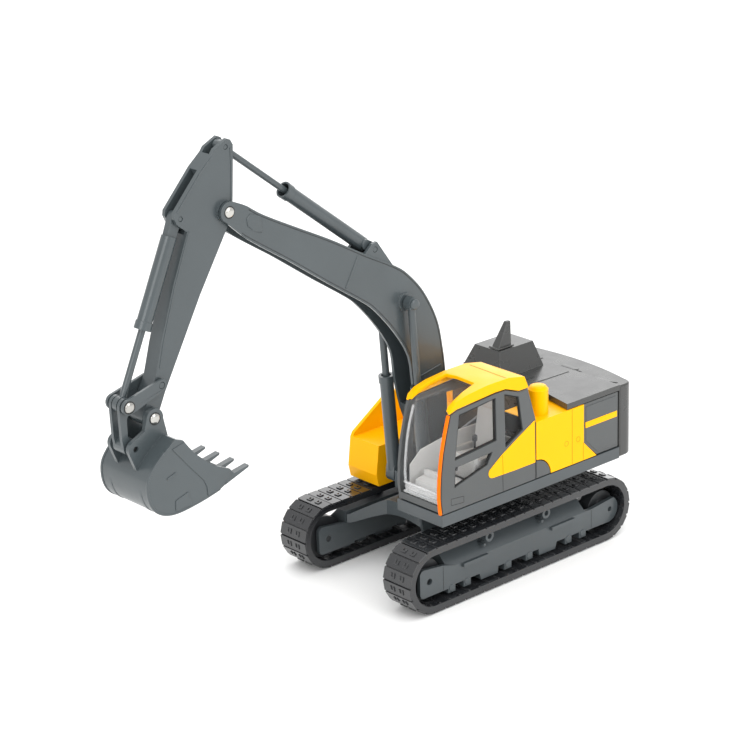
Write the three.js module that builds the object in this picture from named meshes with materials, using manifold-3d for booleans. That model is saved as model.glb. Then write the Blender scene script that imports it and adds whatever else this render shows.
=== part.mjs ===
// Toy crawler excavator, 1:50, in millimetres.
// +X points forward to the bucket, +Y left to the cab side, +Z up.
// The model is laid out with the slew axis at X = 0, Y = 0 and then moved along X,
// so that the exported origin is the middle of the whole outline on the ground.
import * as THREE from "three";
import { mergeVertices } from "three/addons/utils/BufferGeometryUtils.js";
import Module from "manifold-3d";

const wasm = await Module();
wasm.setup();

// ---------- driving dimensions ----------
const ORIGIN_X = 34.65; // middle of the whole length, ahead of the slew axis

// tracks
const TRACK_SPAN = 69; // between the centres of the two round ends
const TRACK_RADIUS = 10; // over the tips of the shoes
const BELT_BASE = 9.4; // outer radius between the shoes
const BELT_INNER = 7.5;
const TRACK_IN = 16.5; // inner edge of a belt, from the middle plane
const TRACK_OUT = 27.5;
const SHOES = 52;
const SHOE_GAP = 0.55;
const FRAME_IN = 17.1; // inner face of a track frame
const FRAME_OUT = 25.3;
const WHEEL_RADIUS = 6.2;
const AXLE_HEIGHT = 9;
const ROLLER_LUGS = [4.3, 20.4, 26.4]; // from the middle, on both sides
const CARRIER_X = 11.4; // upper roller bosses
const CARRIER_Z = 15.4;
const IDLER_X = 34.8;
const DRIVE_X = -36.4;
const DRIVE_RADIUS = 5.2;
const AXLE_RADIUS = 0.9;

// upper structure
const HALF_WIDTH = 26.9;
const BASE_BOTTOM = 24.6;
const BASE_TOP = 28;
const FLOOR = 28.3; // underside of the housings that stand on the base
const CORNER_Z = 28; // centre height of the quarter-round below the left housing
const CORNER_RADIUS = 5.6;
const SEAM_X = -5.6; // between the cab and the housings behind it
const TAIL_X = -40.3; // front face of the counterweight
const CAB_IN = 9; // inner side of the cab
const DECK = 45.4; // top of the left housing and door
const LOW_DECK = 43.1; // top of the right-hand side
const RIVET_RADIUS = 2.7;

// boom, arm and bucket: pivots as [x, z]
const BOOM_FOOT = [10, 37];
const ARM_PIVOT = [82, 121.3];
const BUCKET_PIVOT = [109.7, 72.7];
const BOOM_CYL_FOOT = [18, 27.2];
const BOOM_CYL_HEAD = [22.2, 82.8];
const ARM_CYL_FOOT = [32.3, 100];
const ARM_CYL_HEAD = [80.9, 138];
const BUCKET_CYL_FOOT = [96.4, 122.3];
const ROCKER_PIVOT = [106.2, 80.6];
const LINK_PIN = [116.8, 77.4];
const BUCKET_EAR_PIN = [116.2, 66.1];
const BOOM_HALF = 4.2;
const BOOM_WALL = 0.9;
const ARM_HALF = 2.5;
const BOOM_CYL_Y = 6.6; // middle of each boom cylinder
const PIN_GAP = 0.3; // gap between faces that rest on each other
const RUN = 0.08; // radial clearance of a shaft in its bore

// bucket
const BUCKET_HALF = 10;
const BUCKET_WALL = 0.9;
const TOOTH_PITCH = 6.1;
const TEETH = 4;

// ---------- materials ----------
function finish(color, roughness, metalness, opacity = 1) {
  const transparent = opacity < 1;
  return new THREE.MeshStandardMaterial({ color, roughness, metalness, opacity, transparent });
}
const GREY = finish(0x4a5054, 0.45, 0.1);
const FRAME_GREY = finish(0x565d62, 0.5, 0.1);
const YELLOW = finish(0xffcf00, 0.35, 0);
const RUBBER = finish(0x1d1f22, 0.4, 0);
const STEEL = finish(0xc9c9c6, 0.25, 1);
const CLEAR = finish(0xe8eef2, 0.08, 0, 0.3);
const ORANGE = finish(0xff7a00, 0.4, 0);
const INTERIOR = finish(0x77797b, 0.6, 0);
const WHEEL = finish(0x2c2f32, 0.5, 0);

// ---------- solids ----------
const UP = new THREE.Vector3(0, 1, 0);

function solid(geometry) {
  const loose = geometry.index ? geometry.toNonIndexed() : geometry.clone();
  const bare = new THREE.BufferGeometry();
  bare.setAttribute("position", loose.getAttribute("position"));
  const merged = mergeVertices(bare, 1e-4);
  return new wasm.Manifold(
    new wasm.Mesh({
      numProp: 3,
      vertProperties: merged.getAttribute("position").array,
      triVerts: new Uint32Array(merged.index.array),
    }),
  );
}

function join(...pieces) {
  return pieces.reduce((all, piece) => all.add(piece));
}

function cut(body, ...tools) {
  return tools.reduce((rest, tool) => rest.subtract(tool), body);
}

function box(x0, x1, y0, y1, z0, z1) {
  const geometry = new THREE.BoxGeometry(x1 - x0, y1 - y0, z1 - z0);
  geometry.translate((x0 + x1) / 2, (y0 + y1) / 2, (z0 + z1) / 2);
  return solid(geometry);
}

// A round bar along Y, centred on the pivot [x, z].
function bar([x, z], radius, y0, y1, sides = 20) {
  const geometry = new THREE.CylinderGeometry(radius, radius, y1 - y0, sides);
  geometry.translate(x, (y0 + y1) / 2, z);
  return solid(geometry);
}

function post(x, y, radius, z0, z1, sides = 24, topRadius = radius) {
  const geometry = new THREE.CylinderGeometry(topRadius, radius, z1 - z0, sides);
  geometry.rotateX(Math.PI / 2);
  geometry.translate(x, y, (z0 + z1) / 2);
  return solid(geometry);
}

// A round bar in the plane Y = y, from a to b, both [x, z].
function strut(a, b, radius, y, sides = 18) {
  const from = new THREE.Vector3(a[0], y, a[1]);
  const to = new THREE.Vector3(b[0], y, b[1]);
  const along = to.clone().sub(from);
  const geometry = new THREE.CylinderGeometry(radius, radius, along.length(), sides);
  geometry.applyQuaternion(new THREE.Quaternion().setFromUnitVectors(UP, along.normalize()));
  geometry.translate((a[0] + b[0]) / 2, y, (a[1] + b[1]) / 2);
  return solid(geometry);
}

function outline(points) {
  return new THREE.Shape(points.map(([u, v]) => new THREE.Vector2(u, v)));
}

// A plate in the XZ plane between two Y values.
function sidePlate(points, y0, y1) {
  const shape = Array.isArray(points) ? outline(points) : points;
  const geometry = new THREE.ExtrudeGeometry(shape, { depth: y1 - y0, bevelEnabled: false });
  geometry.rotateX(Math.PI / 2);
  geometry.translate(0, y1, 0);
  return solid(geometry);
}

// A plate in the XY plane between two Z values.
function floorPlate(points, z0, z1) {
  const geometry = new THREE.ExtrudeGeometry(outline(points), { depth: z1 - z0, bevelEnabled: false });
  geometry.translate(0, 0, z0);
  return solid(geometry);
}

// A plate in the YZ plane between two X values.
function crossPlate(points, x0, x1) {
  const geometry = new THREE.ExtrudeGeometry(outline(points), { depth: x1 - x0, bevelEnabled: false });
  const turn = new THREE.Matrix4().makeBasis(
    new THREE.Vector3(0, 1, 0),
    new THREE.Vector3(0, 0, 1),
    new THREE.Vector3(1, 0, 0),
  );
  geometry.applyMatrix4(turn);
  geometry.translate(x0, 0, 0);
  return solid(geometry);
}

// A solid between a lower and an upper rectangle, each [x0, x1, y0, y1, z].
function frustum(lower, upper) {
  const corners = [lower, upper].flatMap(([x0, x1, y0, y1, z]) => [
    [x0, y0, z],
    [x1, y0, z],
    [x1, y1, z],
    [x0, y1, z],
  ]);
  const faces = [
    [0, 2, 1], [0, 3, 2], [4, 5, 6], [4, 6, 7], [0, 1, 5], [0, 5, 4],
    [1, 2, 6], [1, 6, 5], [2, 3, 7], [2, 7, 6], [3, 0, 4], [3, 4, 7],
  ];
  const geometry = new THREE.BufferGeometry();
  geometry.setAttribute("position", new THREE.Float32BufferAttribute(corners.flat(), 3));
  geometry.setIndex(faces.flat());
  return solid(geometry);
}

// Points on a circle from one angle to another, in degrees.
function arc([u, v], radius, from, to, steps) {
  return Array.from({ length: steps + 1 }, (_, i) => {
    const angle = ((from + ((to - from) * i) / steps) * Math.PI) / 180;
    return [u + radius * Math.cos(angle), v + radius * Math.sin(angle)];
  });
}

// A flat strap with round ends of the given radii around two pivots.
function strap(a, b, radiusA, radiusB, y0, y1) {
  const heading = (Math.atan2(b[1] - a[1], b[0] - a[0]) * 180) / Math.PI;
  const points = [
    ...arc(a, radiusA, heading + 90, heading + 270, 10),
    ...arc(b, radiusB, heading - 90, heading + 90, 10),
  ];
  return sidePlate(points, y0, y1);
}

// A smooth line through the given points.
function smooth(points, steps) {
  const curve = new THREE.SplineCurve(points.map(([u, v]) => new THREE.Vector2(u, v)));
  return curve.getPoints(steps).map((p) => [p.x, p.y]);
}

// A line moved sideways, to its right by a positive distance.
function shifted(points, distance) {
  return points.map((point, i) => {
    const before = points[Math.max(i - 1, 0)];
    const after = points[Math.min(i + 1, points.length - 1)];
    const length = Math.hypot(after[0] - before[0], after[1] - before[1]);
    const du = (after[0] - before[0]) / length;
    const dv = (after[1] - before[1]) / length;
    return [point[0] + dv * distance, point[1] - du * distance];
  });
}

function between(a, b, share) {
  return [a[0] + (b[0] - a[0]) * share, a[1] + (b[1] - a[1]) * share];
}

function distance(a, b) {
  return Math.hypot(b[0] - a[0], b[1] - a[1]);
}

// ---------- scene graph ----------
const machine = new THREE.Group();
machine.position.x = -ORIGIN_X;

function add(name, body, material) {
  const made = body.getMesh();
  const geometry = new THREE.BufferGeometry();
  geometry.setAttribute("position", new THREE.BufferAttribute(made.vertProperties, 3));
  geometry.setIndex(new THREE.BufferAttribute(made.triVerts, 1));
  geometry.computeVertexNormals();
  const mesh = new THREE.Mesh(geometry, material);
  mesh.name = name;
  machine.add(mesh);
}

// Both sides of the machine: the left-hand piece as made, the right-hand one mirrored.
function addPair(name, body, material) {
  add(name + "_left", body, material);
  add(name + "_right", body.mirror([0, 1, 0]), material);
}

// ---------- undercarriage ----------
// A point on the track's oval, a distance round it and a radius out.
function trackPoint(travel, radius) {
  const half = TRACK_SPAN / 2;
  const bend = Math.PI * BELT_BASE;
  if (travel < TRACK_SPAN) return [travel - half, TRACK_RADIUS + radius];
  if (travel < TRACK_SPAN + bend) {
    const angle = Math.PI / 2 - (travel - TRACK_SPAN) / BELT_BASE;
    return [half + radius * Math.cos(angle), TRACK_RADIUS + radius * Math.sin(angle)];
  }
  if (travel < 2 * TRACK_SPAN + bend) {
    return [half - (travel - TRACK_SPAN - bend), TRACK_RADIUS - radius];
  }
  const angle = -Math.PI / 2 - (travel - 2 * TRACK_SPAN - bend) / BELT_BASE;
  return [-half + radius * Math.cos(angle), TRACK_RADIUS + radius * Math.sin(angle)];
}

function trackBelt() {
  const lap = 2 * TRACK_SPAN + 2 * Math.PI * BELT_BASE;
  const pitch = lap / SHOES;
  const outer = [];
  for (let i = 0; i < SHOES; i++) {
    const start = i * pitch + SHOE_GAP / 2;
    const end = (i + 1) * pitch - SHOE_GAP / 2;
    outer.push(trackPoint(start, BELT_BASE), trackPoint(start, TRACK_RADIUS));
    outer.push(trackPoint(end, TRACK_RADIUS), trackPoint(end, BELT_BASE));
  }
  const half = TRACK_SPAN / 2;
  const inner = [
    ...arc([half, TRACK_RADIUS], BELT_INNER, -90, 90, 16),
    ...arc([-half, TRACK_RADIUS], BELT_INNER, 90, 270, 16),
  ];
  const shape = outline(outer);
  shape.holes.push(new THREE.Path(inner.map(([u, v]) => new THREE.Vector2(u, v))));
  return sidePlate(shape, TRACK_IN, TRACK_OUT);
}

function trackFrame() {
  const bottom = 5.2;
  const beam = crossPlate(
    [
      [FRAME_IN, bottom],
      [FRAME_OUT, bottom],
      [FRAME_OUT, 10.9],
      [20.6, 15.4],
      [FRAME_IN, 15.4],
    ],
    -27.5,
    28,
  );
  const parts = [beam];
  for (const x of ROLLER_LUGS) {
    for (const side of [-1, 1]) parts.push(box(side * x - 1.4, side * x + 1.4, 19, FRAME_OUT, 3.2, 6));
  }
  for (const side of [-1, 1]) {
    const guard = [
      [side * 8, 6],
      [side * 8.4, 3.2],
      [side * 15, 3.2],
      [side * 15.8, 6],
    ];
    parts.push(sidePlate(guard, 19, FRAME_OUT));
    parts.push(box(side * 17.6 - 4.8, side * 17.6 + 4.8, FRAME_OUT - 0.5, FRAME_OUT + 1, 9.7, 10.8));
    parts.push(bar([side * CARRIER_X, CARRIER_Z], 1.6, 21, FRAME_OUT, 16));
  }
  const frontCheek = [
    [25, 4.6],
    [37.2, 4.6],
    ...arc([37, 6], 1.4, -80, 0, 4),
    ...arc([36.9, 11.6], 1.5, 0, 92, 5),
    [29.4, 12.2],
    [25, 10.9],
  ];
  const rearCheek = [[-25, 10.9], [-30.4, 10.9], ...arc([-37.4, 8.6], 4, 125, 270, 11), [-25, 4.8]];
  for (const cheek of [frontCheek, rearCheek]) {
    parts.push(sidePlate(cheek, FRAME_OUT - 1.3, FRAME_OUT));
    parts.push(sidePlate(cheek, FRAME_IN, FRAME_IN + 1.3));
  }
  const bore = AXLE_RADIUS + RUN;
  const holePlaces = [[-38, 8.6], [-CARRIER_X, CARRIER_Z], [CARRIER_X, CARRIER_Z]];
  const holes = holePlaces.map((place) => bar(place, 0.8, FRAME_OUT - 1, FRAME_OUT + 1, 14));
  const frontBore = bar([IDLER_X, AXLE_HEIGHT], bore, 0, 30, 16);
  const rearBore = bar([DRIVE_X, AXLE_HEIGHT], bore, 0, FRAME_OUT - 0.5, 16);
  return cut(join(...parts), frontBore, rearBore, ...holes);
}

function trackWheel(x, radius) {
  const wheel = join(
    bar([x, AXLE_HEIGHT], radius, 19.1, 22.9, 32),
    bar([x, AXLE_HEIGHT], 2.4, 18.8, 23.6, 20),
  );
  return cut(wheel, bar([x, AXLE_HEIGHT], AXLE_RADIUS + RUN, 10, 30, 20));
}

function centreFrame() {
  const legs = crossPlate(
    [
      [-16.8, 12],
      ...smooth([[-15.8, 12], [-8, 15.2], [0, 16.4], [8, 15.2], [15.8, 12]], 12),
      [16.8, 12],
      [16.8, 14.6],
      ...smooth(
        [[16, 14.8], [11.5, 17.6], [7, 19.9], [0, 20.6], [-7, 19.9], [-11.5, 17.6], [-16, 14.8]],
        14,
      ),
      [-16.8, 14.6],
    ],
    -30,
    30,
  );
  const plan = floorPlate(
    [
      [-28, -17], [-21, -7], [-21, 7], [-28, 17], [28, 17], [21, 7], [21, -7], [28, -17],
    ],
    10,
    22,
  );
  const turntable = post(0, 0, 13, 18, 24.3, 40);
  const rivetHole = post(0, 0, RIVET_RADIUS + RUN, 8, 30, 28);
  return cut(join(legs.intersect(plan), turntable), rivetHole);
}

function slewRivet() {
  return join(
    post(0, 0, 4.6, BASE_TOP + PIN_GAP, BASE_TOP + 1.4, 28),
    post(0, 0, RIVET_RADIUS, 15.2, BASE_TOP + 1, 28),
    post(0, 0, 3.8, 14.6, 15.9, 28),
  );
}

addPair("track_belt", trackBelt(), RUBBER);
addPair("track_frame", trackFrame(), FRAME_GREY);
addPair("idler_wheel", trackWheel(IDLER_X, WHEEL_RADIUS), WHEEL);
addPair("drive_wheel", trackWheel(DRIVE_X, DRIVE_RADIUS), WHEEL);
addPair("idler_axle", bar([IDLER_X, AXLE_HEIGHT], AXLE_RADIUS, FRAME_IN + 0.1, FRAME_OUT - 1.1), STEEL);
addPair("drive_axle", bar([DRIVE_X, AXLE_HEIGHT], AXLE_RADIUS, FRAME_IN + 0.1, FRAME_OUT - 1.1), STEEL);
add("centre_frame", cut(centreFrame(), post(0, 0, 4.2, 8, 16.2, 28)), FRAME_GREY);
add("slew_rivet", slewRivet(), STEEL);

// ---------- upper structure ----------
function upperBase() {
  const plate = floorPlate(
    [
      [TAIL_X, -HALF_WIDTH],
      [3.5, -HALF_WIDTH],
      [3.5, -8.6],
      [14, -8.6],
      [14, 8.6],
      [31, 8.6],
      [31, HALF_WIDTH],
      [TAIL_X, HALF_WIDTH],
    ],
    BASE_BOTTOM,
    BASE_TOP,
  );
  const cylinderLug = box(13, 20.2, -4.2, 4.2, BASE_BOTTOM, 29.6);
  const parts = [plate, cylinderLug];
  for (const side of [-1, 1]) {
    const lug = strap([BOOM_FOOT[0], BASE_TOP - 1], BOOM_FOOT, 3.6, 3.1, 4.5, 5.7);
    parts.push(side > 0 ? lug : lug.mirror([0, 1, 0]));
  }
  const clearBelow = box(0, 20, -10, 10, 20, BASE_BOTTOM);
  return cut(
    join(...parts),
    clearBelow,
    post(0, 0, RIVET_RADIUS + RUN, 20, 30, 28),
    bar(BOOM_FOOT, 1 + RUN, -10, 10, 16),
    bar(BOOM_CYL_FOOT, 0.95 + RUN, -10, 10, 16),
  );
}

function counterweight() {
  const corner = arc([-43.4, 23.3], 3.3, 90, 172, 6);
  const tail = arc([44.9, 0], 94.5, 165.9, 194.1, 14);
  const mirrored = corner.map(([x, y]) => [x, -y]).reverse();
  const plan = [[TAIL_X - 0.3, -26.6], [TAIL_X - 0.3, 26.6], ...corner, ...tail, ...mirrored];
  return floorPlate(plan, BASE_BOTTOM, 46.8);
}

function engineHood() {
  const slab = floorPlate(
    [
      [TAIL_X, -19.8], [TAIL_X, HALF_WIDTH], [-18.4, HALF_WIDTH], [-20.8, 16.4],
      [-12, 15.6], [-12, -13.7], [-20.8, -14.4], [-22.5, -19.8],
    ],
    DECK + PIN_GAP,
    47.4,
  );
  const core = box(TAIL_X + 0.3, -12, -13.6, 13.6, FLOOR, DECK + 1);
  const riser = box(TAIL_X, -25.7, -19.8, -18, 40, DECK + 1);
  const step = box(TAIL_X, -25.7, -HALF_WIDTH, -18, LOW_DECK - 1.6, LOW_DECK);
  const housing = frustum([-37.4, -19.2, -17.4, -0.8, 47], [-35.2, -21.4, -13.6, -3.2, 55]);
  const hollow = box(TAIL_X + 3, -14, -10.6, 10.6, FLOOR - 1, DECK - 1.5);
  return cut(join(slab, core, riser, step, housing), hollow);
}

function exhaustFin() {
  return frustum([-27.3, -21.9, -7.3, -4.2, 55.3], [-28, -26.4, -6.5, -5.1, 62.6]);
}

// The yellow housing behind the cab, with the air cleaner on its deck.
function leftHousing() {
  const shell = sidePlate(
    [
      ...arc([SEAM_X - 0.3, CORNER_Z], CORNER_RADIUS + PIN_GAP, 90, 177, 8),
      [-30.6, FLOOR],
      [-25.3, 33.6],
      [-25.3, DECK],
      [SEAM_X - 0.3, DECK],
    ],
    14,
    HALF_WIDTH,
  );
  const [x, y, radius, shoulder] = [-11.6, 22, 2.95, 52.8];
  const cleaner = join(
    post(x, y, radius, DECK - 0.5, shoulder, 28),
    post(x, y, radius, shoulder - 0.1, shoulder + 0.8, 28, 2.3),
  );
  const hoodRoom = box(-32, -18, 10, 30, DECK, 50);
  return join(cut(shell, hoodRoom, box(-32, -8, 13, 25.4, FLOOR - 1, DECK - 1.4)), cleaner);
}

// The grey quarter-round below the left housing, next to the cab.
function cornerTrim() {
  const points = [[SEAM_X - 0.3, FLOOR], ...arc([SEAM_X - 0.3, CORNER_Z], CORNER_RADIUS, 90, 177, 8)];
  return sidePlate(points, 14, HALF_WIDTH - 0.05);
}

function sideDoor(top) {
  const panel = [
    [-25.6, top],
    [TAIL_X + 0.3, top],
    [TAIL_X + 0.3, FLOOR],
    [-31, FLOOR],
    [-25.6, 33.4],
  ];
  return sidePlate(panel, 25.2, 26.5);
}

// The right-hand housing: a low tool box in front with a rising outer wall, then two steps up.
function rightHousing() {
  const frontBox = sidePlate(
    [
      [4, 20.7],
      [17.2, 20.7],
      [18, 24.3],
      [16.9, 33.2],
      [3.2, 33.2],
      [3.2, FLOOR],
      [4, FLOOR],
    ],
    -HALF_WIDTH,
    -14.5,
  );
  const rear = sidePlate(
    [
      [4, FLOOR],
      [4, 33.2],
      [-3.4, 33.2],
      [-3.6, 37],
      [-4.6, 38],
      [-13.4, 38],
      [-14, LOW_DECK],
      [-25.3, LOW_DECK],
      [-25.3, 33.6],
      [-30.6, FLOOR],
    ],
    -HALF_WIDTH,
    -14,
  );
  const wall = sidePlate(
    [
      [16.9, 33],
      [16.2, 34.3],
      [3, 42.8],
      [-4.4, LOW_DECK],
      [-14.5, LOW_DECK],
      [-14.5, 33],
    ],
    -HALF_WIDTH,
    -25.7,
  );
  const hollow = box(-32, -7.4, -25.4, -13, FLOOR - 1, 36.6);
  const hoodRoom = box(-32, -20, -18.2, -10, 30, 50);
  return cut(join(frontBox, rear, wall), hollow, hoodRoom);
}

// ---------- cab ----------
const CAB_FRONT = [
  [30.7, FLOOR],
  [31.2, 33],
  [30.9, 39],
  [29.9, 46],
  [28.4, 52],
  [27.1, 56.4],
];
const CAB_WALL = 1;

function cabShell() {
  const body = sidePlate(
    [
      ...CAB_FRONT,
      [24.6, 57.2],
      [9.9, 58.2],
      [6, 58.1],
      [0.9, 56.2],
      [-2.6, 56.2],
      [SEAM_X, 46.3],
      [SEAM_X, FLOOR],
    ],
    CAB_IN,
    HALF_WIDTH,
  );
  const roomBack = SEAM_X + CAB_WALL;
  const room = sidePlate(
    [
      [roomBack, 46],
      [-1.6, 58],
      [-1.6, 70],
      [34, 70],
      [34, 31.4],
      [31, 30.4],
      [roomBack, 30.4],
    ],
    CAB_IN + CAB_WALL,
    HALF_WIDTH - CAB_WALL,
  );
  const doorTop = [
    [24, 55.9],
    [10, 57],
    [9.8, 44.3],
    [25.8, 43],
  ];
  const doorLow = [
    [25.9, 40.8],
    [11.4, 41.4],
    [13.4, 38.1],
    [26.2, 34.9],
  ];
  const quarter = [
    [6.6, 57.2],
    [1, 55],
    [-0.6, 44.6],
    [6.3, 41.2],
  ];
  const tools = [doorTop, doorLow, quarter].map((w) => sidePlate(w, 20, 30));
  tools.push(sidePlate([[24.4, 55.4], [2, 54.8], [-0.6, 44.6], [26.6, 36]], 5, 15));
  tools.push(box(-8, -2, 12.5, 23.4, 40, 52));
  return cut(body, room, ...tools);
}

function cabRoof() {
  const side = [
    [27.4, 56.7],
    [26.7, 58.3],
    [24.4, 59.7],
    [20, 60.7],
    [12.6, 61.4],
    [4.4, 61.4],
    [-1.6, 60.2],
    [-3.2, 56.5],
    [0.7, 56.5],
    [5.9, 58.4],
    [10, 58.5],
    [24.7, 57.5],
  ];
  const cap = sidePlate(side, CAB_IN + 0.2, 26.7);
  const under = sidePlate(
    [
      [30, 50],
      [30, 56],
      [23.4, 58.7],
      [19.8, 59.7],
      [12.6, 60.4],
      [4.4, 60.4],
      [-0.9, 59.3],
      [-1.9, 50],
    ],
    CAB_IN + 1.2,
    25.7,
  );
  const opening = [[14, 11.4], [13.4, 15], [13.8, 22.4], [24.5, 25], [30, 25], [30, 11.4]];
  const skylight = floorPlate(opening, 55, 65);
  return cut(cap, under, skylight);
}

// One clear moulding: a curved front screen with the skylight, and the door panes behind the wall.
function cabGlazing() {
  const line = smooth(
    [
      [29.9, 31.8],
      [30, 38],
      [29, 46],
      [27.3, 52.4],
      [25.6, 56.2],
      [23, 58],
      [19, 58.9],
      [12, 59.6],
    ],
    22,
  );
  const screen = sidePlate([...line, ...shifted(line, -0.6).reverse()], CAB_IN + 1.5, 25.3);
  const pane = [
    [29.5, 33.2],
    [28.2, 46],
    [24.6, 56.2],
    [6, 57],
    [0.6, 54.8],
    [-2, 44],
    [7, 40],
    [12, 33.2],
  ];
  const outerPane = sidePlate(pane, 25.1, 25.6);
  const innerPane = sidePlate(pane, 10.3, 10.8);
  return join(screen, outerPane, innerPane);
}

function cabTrim() {
  const line = smooth(CAB_FRONT, 10).map(([x, z]) => [x + PIN_GAP, z + 0.1]);
  return sidePlate([...line, ...shifted(line, 0.65).reverse()], 26, HALF_WIDTH);
}

function cabSeat() {
  const profile = [
    [14, 31.6],
    [14.4, 37.4],
    [13.6, 38.6],
    [6.6, 37.8],
    [4.4, 50.4],
    [3.2, 51.2],
    [1.8, 50.6],
    [4, 34],
    [5, 31.6],
  ];
  const headrest = sidePlate([[1.9, 50], [4.3, 50.2], [4, 54.2], [2.2, 54]], 16, 20);
  return join(sidePlate(profile, 14, 22), headrest);
}

function cabConsole() {
  const floor = box(-3.6, 28.5, 10.9, 24.9, 30.6, 31.3);
  const parts = [floor];
  for (const y of [11, 22.6]) {
    parts.push(box(3.6, 15.5, y, y + 1.2, 31, 38.6));
    parts.push(box(14, 15.4, y, y + 1.2, 38, 42.4));
  }
  parts.push(box(23.4, 24.6, 13, 20, 31, 36));
  return join(...parts);
}

add("upper_base", upperBase(), FRAME_GREY);
add("counterweight", counterweight(), GREY);
add("engine_hood", engineHood(), GREY);
add("exhaust_fin", exhaustFin(), GREY);
add("left_housing", leftHousing(), YELLOW);
add("right_housing", rightHousing(), YELLOW);
add("side_door_left", sideDoor(DECK - 0.1), GREY);
add("side_door_right", sideDoor(LOW_DECK - 1.6 - PIN_GAP).mirror([0, 1, 0]), GREY);
add("housing_corner", cornerTrim(), GREY);
add("cab_shell", cabShell(), GREY);
add("cab_roof", cabRoof(), YELLOW);
add("cab_glazing", cabGlazing(), CLEAR);
add("cab_trim", cabTrim(), ORANGE);
add("cab_seat", cabSeat(), INTERIOR);
add("cab_console", cabConsole(), INTERIOR);

// ---------- boom ----------
const BOOM_TOP = [
  [6.9, 37], [7, 48], [7.5, 58.9], [8.2, 65], [10.2, 74.5], [15, 83.8], [20.8, 90.4], [25.9, 94.1],
  [36, 99.5], [48.5, 106.6], [62.1, 113.6], [71.3, 118.5], [76.4, 121.9], [80.6, 123.8],
];
const BOOM_BELLY = [
  [13.1, 37], [17.6, 48], [19.9, 57.7], [21.2, 66.3], [26.2, 74.6], [33.3, 82.8], [38.6, 87],
  [49.1, 94.1], [62.6, 103.6], [75.7, 112.3], [83.2, 118.8],
];

function boom() {
  const top = smooth(BOOM_TOP, 36);
  const belly = smooth(BOOM_BELLY, 30);
  const tip = arc(ARM_PIVOT, 2.8, 105, -60, 8);
  const outer = sidePlate([...top, ...tip, ...belly.reverse()], -BOOM_HALF, BOOM_HALF);
  const foot = bar(BOOM_FOOT, 3.1, -BOOM_HALF, BOOM_HALF, 24);
  const inner = BOOM_HALF - BOOM_WALL;
  const roof = shifted(smooth(BOOM_TOP.slice(2, 13), 30), 1.2);
  const open = shifted(smooth(BOOM_BELLY.slice(2), 24), 2).reverse();
  const channel = sidePlate([[9.2, 50], ...roof, [90, 128], [90, 112], ...open, [22, 50]], -inner, inner);
  const fork = sidePlate([[76.6, 112], [78.6, 118], [78.2, 126], [90, 130], [90, 110]], -inner, inner);
  const parts = [outer, foot];
  for (const side of [-1, 1]) {
    const y = side > 0 ? [2.9, 3.9] : [-3.9, -2.9];
    parts.push(sidePlate([[25.6, 93.4], [31.6, 102.1], [33.4, 101.8], [36.4, 99.2]], ...y));
    const ring = side > 0 ? [BOOM_HALF - 0.2, BOOM_HALF + 0.5] : [-BOOM_HALF - 0.5, 0.2 - BOOM_HALF];
    parts.push(bar(BOOM_CYL_HEAD, 2.6, ...ring, 24));
  }
  return cut(
    join(...parts),
    channel,
    fork,
    bar(BOOM_FOOT, 1 + RUN, -10, 10, 16),
    bar(BOOM_CYL_HEAD, 0.95 + RUN, -10, 10, 16),
    bar(ARM_CYL_FOOT, 0.75 + RUN, -10, 10, 14),
    bar(ARM_PIVOT, 1.5 + RUN, -10, 10, 20),
  );
}

// ---------- arm ----------
function arm() {
  const outlinePoints = [
    [78.5, 138.2], [79.3, 139.6], [80.4, 140.1], [84.6, 138.1], [85.6, 136.8], [89.4, 133.7],
    [98.2, 124.2], [98.4, 122.8], [97.6, 121], [94.5, 118.5], [100.3, 104.5], [104.8, 90.9], [107.2, 82.5],
    ...arc(BUCKET_PIVOT, 2.5, 15, -150, 9),
    [104.4, 78.1], [98.9, 88], [91.5, 101.1], [87.9, 106.9], [82.4, 115.6], [80.2, 119.4], [79.4, 124],
    [78.8, 132.8],
  ];
  const body = sidePlate(outlinePoints, -ARM_HALF, ARM_HALF);
  const parts = [body];
  for (const y of [[ARM_HALF - 0.2, 3.05], [-3.05, 0.2 - ARM_HALF]]) {
    parts.push(bar(ARM_PIVOT, 2.9, ...y, 24));
    parts.push(bar(BUCKET_PIVOT, 2.4, ...y, 20));
  }
  const headGap = [[74, 133.6], [84, 133.6], [86.5, 139], [84, 144], [74, 144]];
  const headSlot = sidePlate(headGap, -1.4, 1.4);
  const earGap = [[90, 134.4], [88.6, 131.6], [92.4, 118.9], [94.5, 117.6], [102, 118], [102, 128]];
  const earSlot = sidePlate(earGap, -1.4, 1.4);
  return cut(
    join(...parts),
    headSlot,
    earSlot,
    bar(ARM_PIVOT, 1.5 + RUN, -10, 10, 20),
    bar(ARM_CYL_HEAD, 0.65 + RUN, -10, 10, 14),
    bar(BUCKET_CYL_FOOT, 0.65 + RUN, -10, 10, 14),
    bar(ROCKER_PIVOT, 0.85 + RUN, -10, 10, 14),
    bar(BUCKET_PIVOT, 1.25 + RUN, -10, 10, 20),
  );
}

// ---------- cylinders ----------
// A barrel with an eye at its foot, hollow from the gland end down to the eye.
function barrel({ foot, head, shoulder, length, radius, bore, eye, eyeHalf, pin, y = 0 }) {
  const at = (reach) => between(foot, head, reach / distance(foot, head));
  const tube = join(
    strut(at(shoulder), at(length), radius, y),
    strut(at(length - 2.2), at(length), radius + 0.25, y),
    strap(foot, at(shoulder + 0.6), eye, eye * 0.8, y - eyeHalf, y + eyeHalf),
  );
  const hollow = strut(at(shoulder + 1.4), at(length + 1), bore, y);
  return cut(tube, hollow, bar(foot, pin + RUN, y - 6, y + 6, 16));
}

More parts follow.
